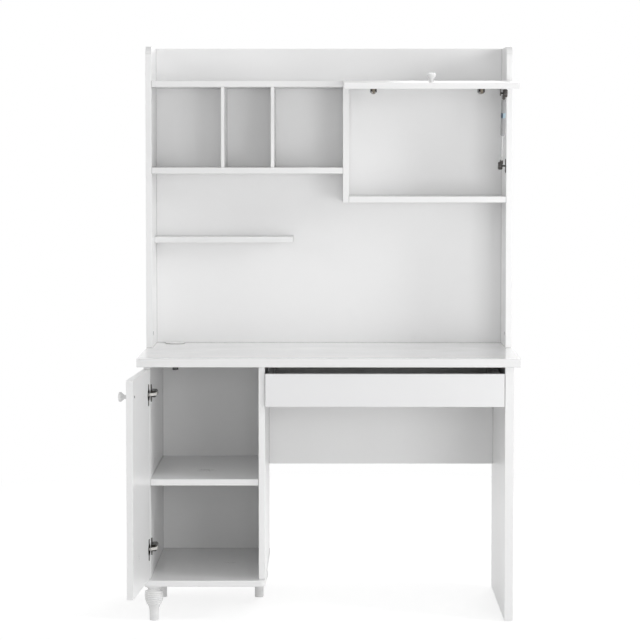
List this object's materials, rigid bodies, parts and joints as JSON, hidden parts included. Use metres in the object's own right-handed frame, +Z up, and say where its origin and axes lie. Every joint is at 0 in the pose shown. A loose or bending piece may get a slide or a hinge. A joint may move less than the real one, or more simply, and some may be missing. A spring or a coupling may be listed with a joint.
{
  "type": "student desk with hutch",
  "caption": "White student desk with a side cabinet on turned feet, a drawer, and a hutch with pigeonholes, a floating shelf and a lift-up flap on a gas strut.",
  "frame": {"origin": "middle of the desk's outline on the floor, with the door and the flap open", "axes": "+Z up, +Y towards the wall behind the desk, +X to the right of a person seated at it"},
  "size_m": [1.1286, 0.92, 1.665],
  "materials": {
    "white_board": "satin white coated board",
    "white_lacquer": "satin white lacquer on turned wood",
    "white_hardboard": "matt white coated hardboard",
    "beech": "raw beech",
    "nickel_hinge": "nickel plated pressed steel",
    "zinc_screw": "zinc plated",
    "zinc_cam": "die cast zinc",
    "runner_steel": "zinc plated rolled steel",
    "strut_bracket_steel": "dark plated steel",
    "strut_rod": "polished rod with a dark moulded socket",
    "strut_cylinder": "grey painted tube with a dark moulded socket",
    "white_plastic": "gloss white",
    "grey_plastic": "matt grey",
    "dark_metal": "dark plated steel"
  },
  "bodies": {
    "carcass": {"worktop": "white_board", "cable_grommet_liner": "white_plastic", "cable_grommet_cap": "white_plastic", "worktop_clamp_nut": "dark_metal", "hutch_left_side": "white_board", "hutch_right_side": "white_board", "hutch_back_panel": "white_board", "hutch_top_shelf": "white_board", "flap_box_side": "white_board", "flap_box_floor": "white_board", "pigeonhole_shelf": "white_board", "pigeonhole_divider_left": "white_board", "pigeonhole_divider_right": "white_board", "floating_shelf": "white_board", "cabinet_base_board": "white_board", "cabinet_left_side": "white_board", "cabinet_right_side": "white_board", "cabinet_back_panel": "white_board", "cabinet_shelf": "white_board", "right_leg_panel": "white_board", "modesty_panel": "white_board", "shelf_pins": "zinc_screw", "foot_front_left": "white_lacquer", "foot_rear_left": "white_lacquer", "foot_rear_right": "white_lacquer", "foot_bolts": "zinc_screw", "leg_glides": "grey_plastic", "hutch_cams": "zinc_cam", "hutch_cam_bolts": "zinc_screw", "wood_dowels": "beech", "door_hinge_plates": "nickel_hinge", "door_hinge_arms": "nickel_hinge", "flap_hinge_plates": "nickel_hinge", "flap_hinge_arms": "nickel_hinge", "hinge_plate_screws": "zinc_screw", "strut_wall_bracket": "strut_bracket_steel", "left_runner_outer_rail": "runner_steel", "right_runner_outer_rail": "runner_steel"},
    "door": {"door_panel": "white_board", "door_hinge_cups": "nickel_hinge", "door_cup_screws": "zinc_screw", "door_knob": "white_lacquer", "door_knob_screw": "zinc_screw"},
    "flap": {"flap_panel": "white_board", "flap_hinge_cups": "nickel_hinge", "flap_cup_screws": "zinc_screw", "flap_knob": "white_lacquer", "flap_knob_screw": "zinc_screw", "strut_flap_bracket": "strut_bracket_steel"},
    "drawer": {"drawer_front": "white_board", "drawer_left_side": "white_board", "drawer_right_side": "white_board", "drawer_back": "white_board", "drawer_bottom": "white_hardboard", "left_runner_inner_rail": "runner_steel", "right_runner_inner_rail": "runner_steel"},
    "strut_rod_body": {"strut_rod": "strut_rod"},
    "strut_cylinder_body": {"strut_cylinder": "strut_cylinder"},
    "left_ball_cage": {"left_runner_ball_cage": "runner_steel"},
    "right_ball_cage": {"right_runner_ball_cage": "runner_steel"}
  },
  "joints": [
    {"name": "door_hinge", "type": "hinge", "parent": "carcass", "child": "door", "pos_m": [-0.51071, -0.12004, 0], "axis": [0, 0, 1], "range_deg": [-1.5, 93.5]},
    {"name": "flap_hinge", "type": "hinge", "parent": "carcass", "child": "flap", "pos_m": [0.01429, 0.23696, 1.5545], "axis": [1, 0, 0], "range_deg": [0, 87.5]},
    {"name": "drawer_slide", "type": "slide", "parent": "carcass", "child": "drawer", "axis": [0, -1, 0], "range_m": [0, 0.3]},
    {"name": "left_cage_slide", "type": "slide", "parent": "carcass", "child": "left_ball_cage", "axis": [0, -1, 0], "range_m": [0, 0.15]},
    {"name": "right_cage_slide", "type": "slide", "parent": "carcass", "child": "right_ball_cage", "axis": [0, -1, 0], "range_m": [0, 0.15]},
    {"name": "strut_pivot", "type": "hinge", "parent": "flap", "child": "strut_cylinder_body", "pos_m": [0.53279, 0.16277, 1.52273], "axis": [1, 0, 0], "range_deg": [-113.2, 0]},
    {"name": "strut_stroke", "type": "slide", "parent": "strut_cylinder_body", "child": "strut_rod_body", "axis": [0, -0.4281, 0.9037], "range_m": [0, 0.0669]}
  ],
  "couplings": [
    {"joint": "left_cage_slide", "follows": "drawer_slide", "ratio": 0.5},
    {"joint": "right_cage_slide", "follows": "drawer_slide", "ratio": 0.5},
    {"joint": "strut_pivot", "follows": "flap_hinge", "ratio": -1.2916},
    {"joint": "strut_stroke", "follows": "flap_hinge", "m_per_rad": 0.043682}
  ]
}
